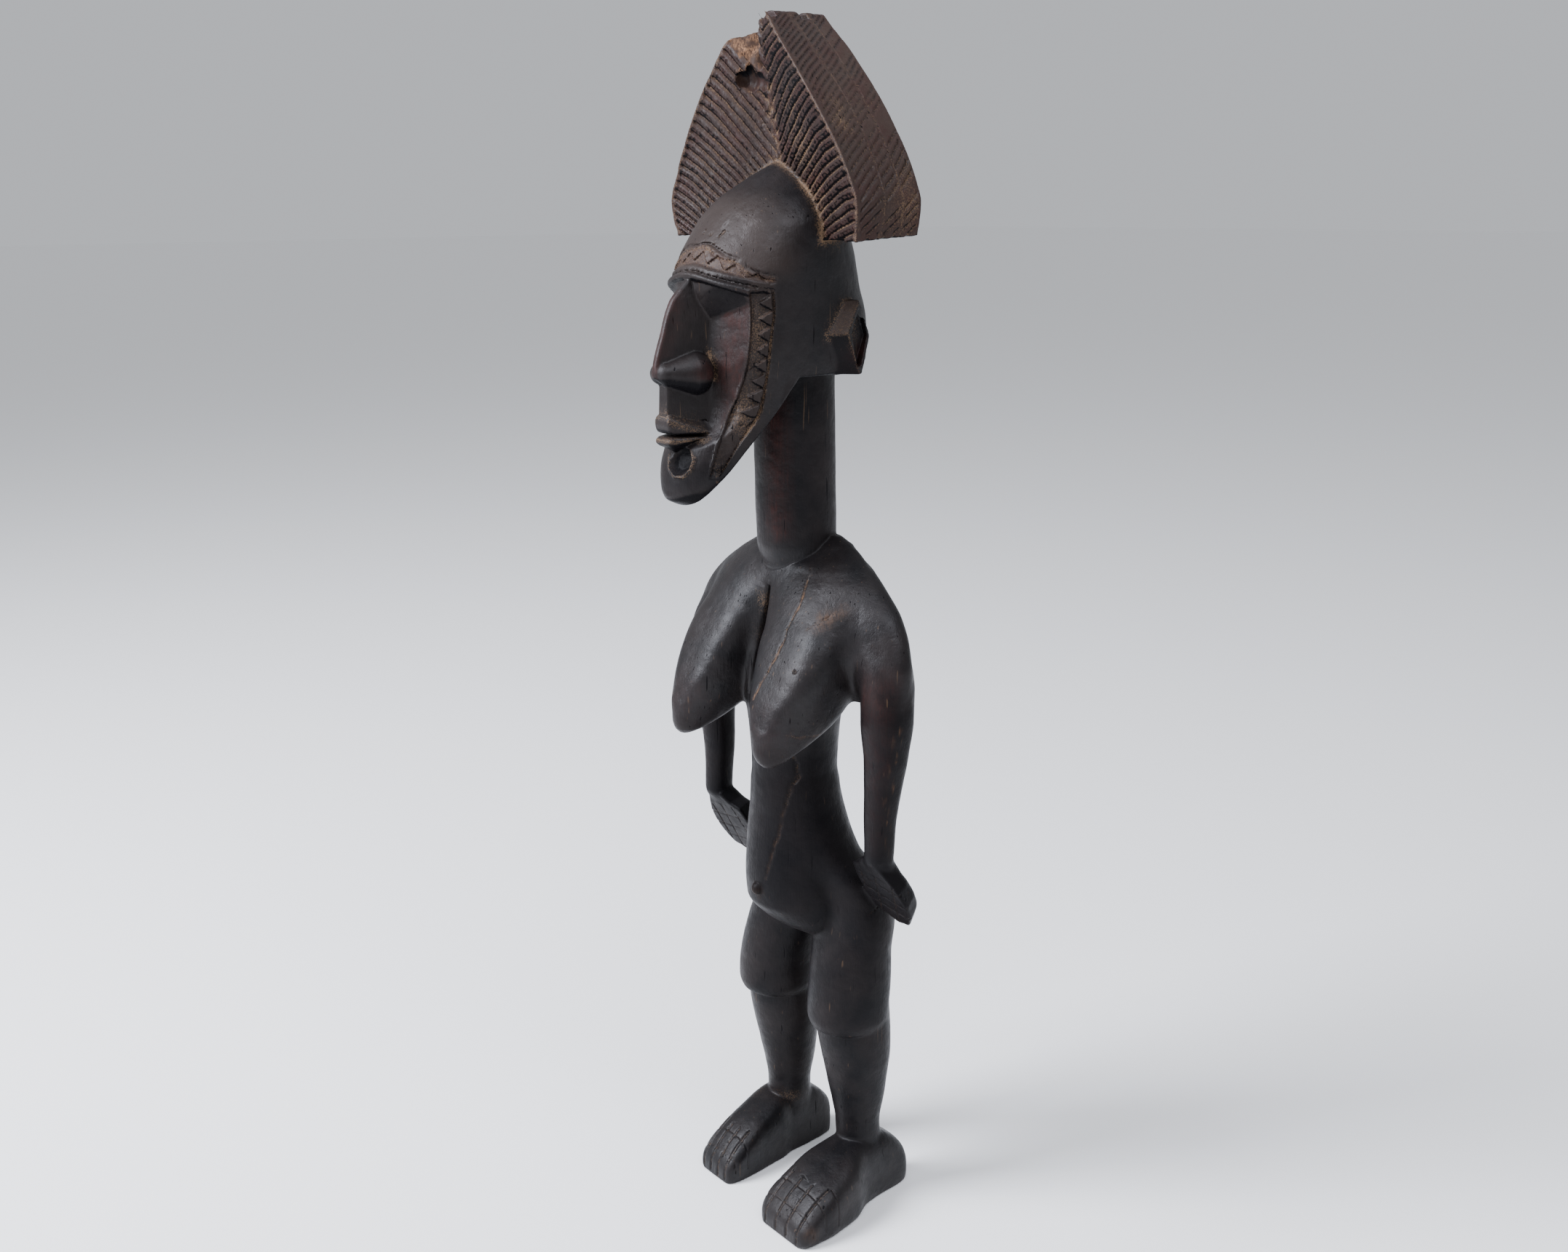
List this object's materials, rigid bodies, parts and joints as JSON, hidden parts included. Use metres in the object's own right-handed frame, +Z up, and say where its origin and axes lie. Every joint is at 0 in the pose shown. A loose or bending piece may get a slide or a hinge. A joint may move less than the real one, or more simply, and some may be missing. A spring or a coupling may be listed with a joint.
{
  "type": "standing power figure",
  "caption": "Standing female figure carved in dark wood, with a tall grooved crest, long neck, arms at the sides and flat feet.",
  "frame": {"origin": "middle of the bounding box, on the floor under the feet", "axes": "+Z up, the figure faces -Y, the figure's own left side is +X"},
  "size_m": [0.2062, 0.159, 0.751],
  "materials": {
    "dark_wood": "dense hardwood with a dark, handled, half-glossy patina, red-brown where worn and pale dust in the cuts"
  },
  "bodies": {
    "root": {"figure": "dark_wood"}
  },
  "joints": []
}
